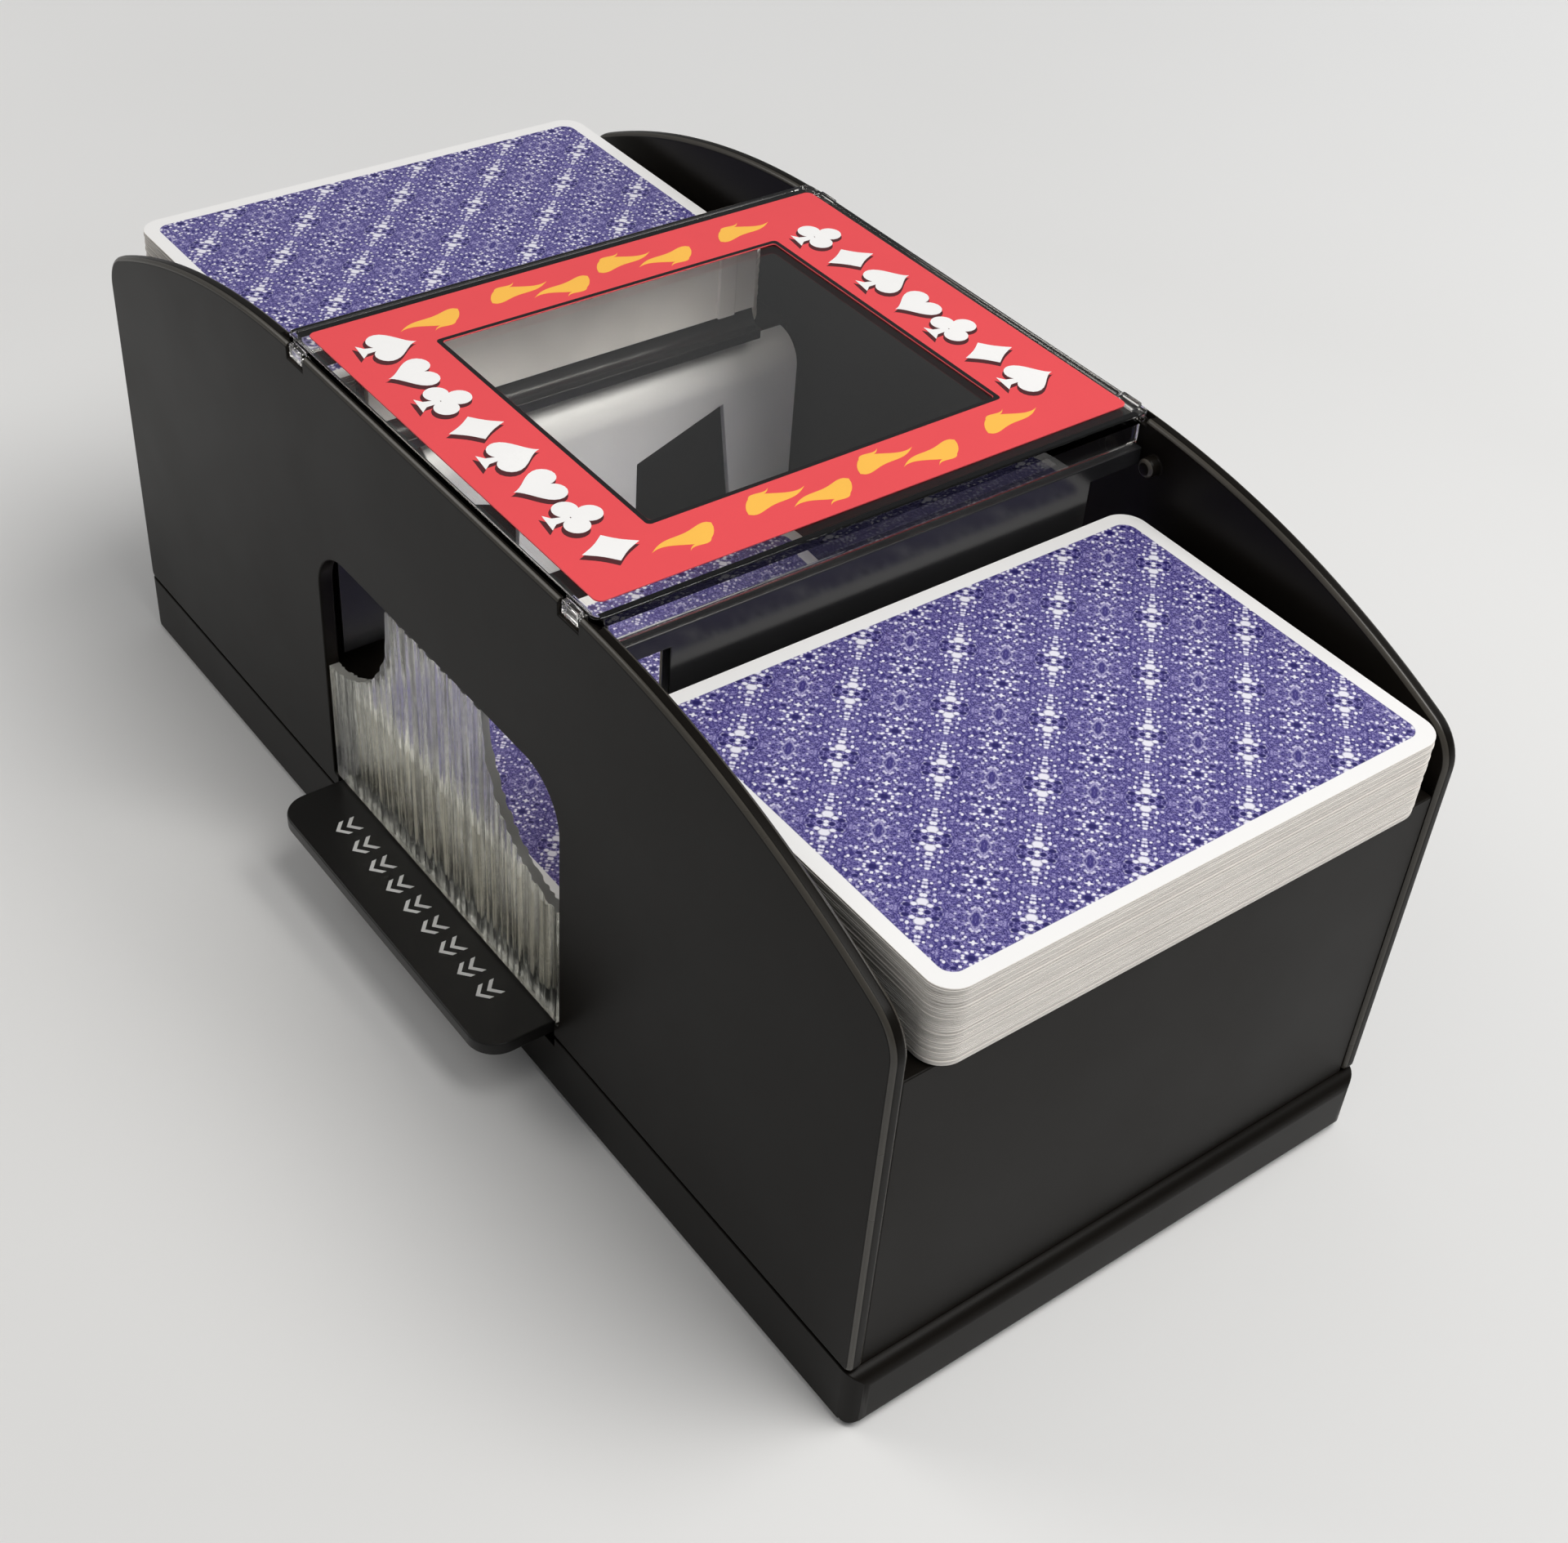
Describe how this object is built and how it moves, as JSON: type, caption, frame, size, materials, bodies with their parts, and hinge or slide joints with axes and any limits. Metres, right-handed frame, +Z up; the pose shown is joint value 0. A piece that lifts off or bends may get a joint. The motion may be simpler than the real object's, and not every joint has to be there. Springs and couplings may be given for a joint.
{
  "type": "automatic card shuffler",
  "caption": "Battery table-top card shuffler with domed black side panels, card trays, a clear printed cover and a clear card bin above a press bar.",
  "frame": {"origin": "middle of the footprint on the table, the press bar's tab included", "axes": "+X along the length to the right tray, -Y towards the bin window and the press bar, +Z up"},
  "size_m": [0.219, 0.113, 0.0974],
  "materials": {
    "housing_black": "satin black ABS with a fine moulded grain",
    "tray_brown": "dark brownish grey ABS, satin",
    "foot_rubber": "matt black rubber",
    "gate_black": "gloss black ABS",
    "stop_taupe": "taupe plastic pad, satin",
    "chute_grey": "light grey plastic, semi gloss",
    "cover_clear": "clear polystyrene with polished faces",
    "insert_print": null,
    "bin_clear": "clear polystyrene with polished faces",
    "card_paper": "playing cards with a violet lattice back and white edges",
    "press_black": null,
    "bright_steel": "polished steel rod and wire",
    "screw_zinc": "zinc plated steel",
    "switch_black": "black thermoset",
    "button_red": "red plastic",
    "hub_white": "natural acetal",
    "tyre_rubber": "grippy dark grey rubber, fine ribs",
    "gear_white": "natural acetal",
    "bush_bronze": "oiled sintered bronze",
    "pinion_brass": "turned brass",
    "motor_steel": "plated steel can",
    "cell_jacket": "copper and black battery jacket, unmarked",
    "contact_nickel": "nickel plated spring steel",
    "red_insulation": "red PVC",
    "black_insulation": "black PVC"
  },
  "bodies": {
    "housing": {"base_pan": "housing_black", "rubber_feet": "foot_rubber", "front_side_panel": "housing_black", "rear_side_panel": "housing_black", "right_card_tray": "tray_brown", "left_card_tray": "tray_brown", "right_gate": "gate_black", "left_gate": "gate_black", "right_card_stop": "stop_taupe", "left_card_stop": "stop_taupe", "right_feed_chute": "chute_grey", "left_feed_chute": "chute_grey", "bin_shelf": "housing_black", "press_bar_pins": "bright_steel", "press_bar_springs": "bright_steel", "switch_body": "switch_black", "shaft_bushes": "bush_bronze", "idler_pins": "bright_steel", "right_motor": "motor_steel", "left_motor": "motor_steel", "battery_cells": "cell_jacket", "battery_contacts": "contact_nickel", "red_wires": "red_insulation", "black_wires": "black_insulation", "case_screws": "screw_zinc", "panel_screws": "screw_zinc", "motor_screws": "screw_zinc"},
    "bin": {"card_bin": "bin_clear"},
    "shuffled_deck": {"shuffled_cards": "card_paper"},
    "cover": {"top_cover": "cover_clear", "cover_insert": "insert_print"},
    "right_cards": {"right_deck": "card_paper"},
    "left_cards": {"left_deck": "card_paper"},
    "press_bar": {"press_bar": "press_black"},
    "switch_plunger": {"switch_button": "button_red"},
    "battery_door": {"battery_door": "housing_black"},
    "right_roller": {"right_roller_shaft": "bright_steel", "right_roller_hubs": "hub_white", "right_roller_tyres": "tyre_rubber", "right_roller_gear": "gear_white"},
    "right_idler": {"right_idler_gear": "gear_white"},
    "right_rotor": {"right_motor_shaft": "bright_steel", "right_motor_pinion": "pinion_brass"},
    "left_roller": {"left_roller_shaft": "bright_steel", "left_roller_hubs": "hub_white", "left_roller_tyres": "tyre_rubber", "left_roller_gear": "gear_white"},
    "left_idler": {"left_idler_gear": "gear_white"},
    "left_rotor": {"left_motor_shaft": "bright_steel", "left_motor_pinion": "pinion_brass"}
  },
  "joints": [
    {"name": "bin_slide", "type": "slide", "parent": "housing", "child": "bin", "axis": [0, -1, 0], "range_m": [0, 0.094]},
    {"name": "shuffled_deck_lift", "type": "slide", "parent": "bin", "child": "shuffled_deck", "axis": [0, 0, 1], "range_m": [0, 0.04]},
    {"name": "cover_lift", "type": "slide", "parent": "housing", "child": "cover", "axis": [0, 0, 1], "range_m": [0, 0.03]},
    {"name": "right_cards_lift", "type": "slide", "parent": "housing", "child": "right_cards", "axis": [0, 0, 1], "range_m": [0, 0.03]},
    {"name": "left_cards_lift", "type": "slide", "parent": "housing", "child": "left_cards", "axis": [0, 0, 1], "range_m": [0, 0.03]},
    {"name": "press_bar_hinge", "type": "hinge", "parent": "housing", "child": "press_bar", "pos_m": [0, -0.021, 0.0116], "axis": [1, 0, 0], "range_deg": [0, 3.4], "stiffness_Nm_per_rad": 0.3, "springref_deg": -5.73, "deforming": ["press_bar_springs"]},
    {"name": "switch_plunger_slide", "type": "slide", "parent": "housing", "child": "switch_plunger", "axis": [0, 0, -1], "range_m": [0, 0.001]},
    {"name": "battery_door_hinge", "type": "hinge", "parent": "housing", "child": "battery_door", "pos_m": [0.0476, 0, 0.001], "axis": [0, 1, 0], "range_deg": [0, 60]},
    {"name": "right_roller_spin", "type": "hinge", "parent": "housing", "child": "right_roller", "pos_m": [0.056, 0.006, 0.06015], "axis": [0, 1, 0], "continuous": true},
    {"name": "right_idler_spin", "type": "hinge", "parent": "housing", "child": "right_idler", "pos_m": [0.06179, 0.006, 0.05326], "axis": [0, 1, 0], "continuous": true},
    {"name": "right_rotor_spin", "type": "hinge", "parent": "housing", "child": "right_rotor", "pos_m": [0.0741, 0.006, 0.05108], "axis": [0, 1, 0], "continuous": true},
    {"name": "left_roller_spin", "type": "hinge", "parent": "housing", "child": "left_roller", "pos_m": [-0.056, 0.006, 0.06015], "axis": [0, 1, 0], "continuous": true},
    {"name": "left_idler_spin", "type": "hinge", "parent": "housing", "child": "left_idler", "pos_m": [-0.06179, 0.006, 0.05326], "axis": [0, 1, 0], "continuous": true},
    {"name": "left_rotor_spin", "type": "hinge", "parent": "housing", "child": "left_rotor", "pos_m": [-0.0741, 0.006, 0.05108], "axis": [0, 1, 0], "continuous": true}
  ],
  "couplings": [
    {"joint": "switch_plunger_slide", "follows": "press_bar_hinge", "m_per_rad": 0.0155},
    {"joint": "right_idler_spin", "follows": "right_roller_spin", "ratio": -2},
    {"joint": "right_rotor_spin", "follows": "right_roller_spin", "ratio": 8},
    {"joint": "left_idler_spin", "follows": "left_roller_spin", "ratio": -2},
    {"joint": "left_rotor_spin", "follows": "left_roller_spin", "ratio": 8}
  ]
}
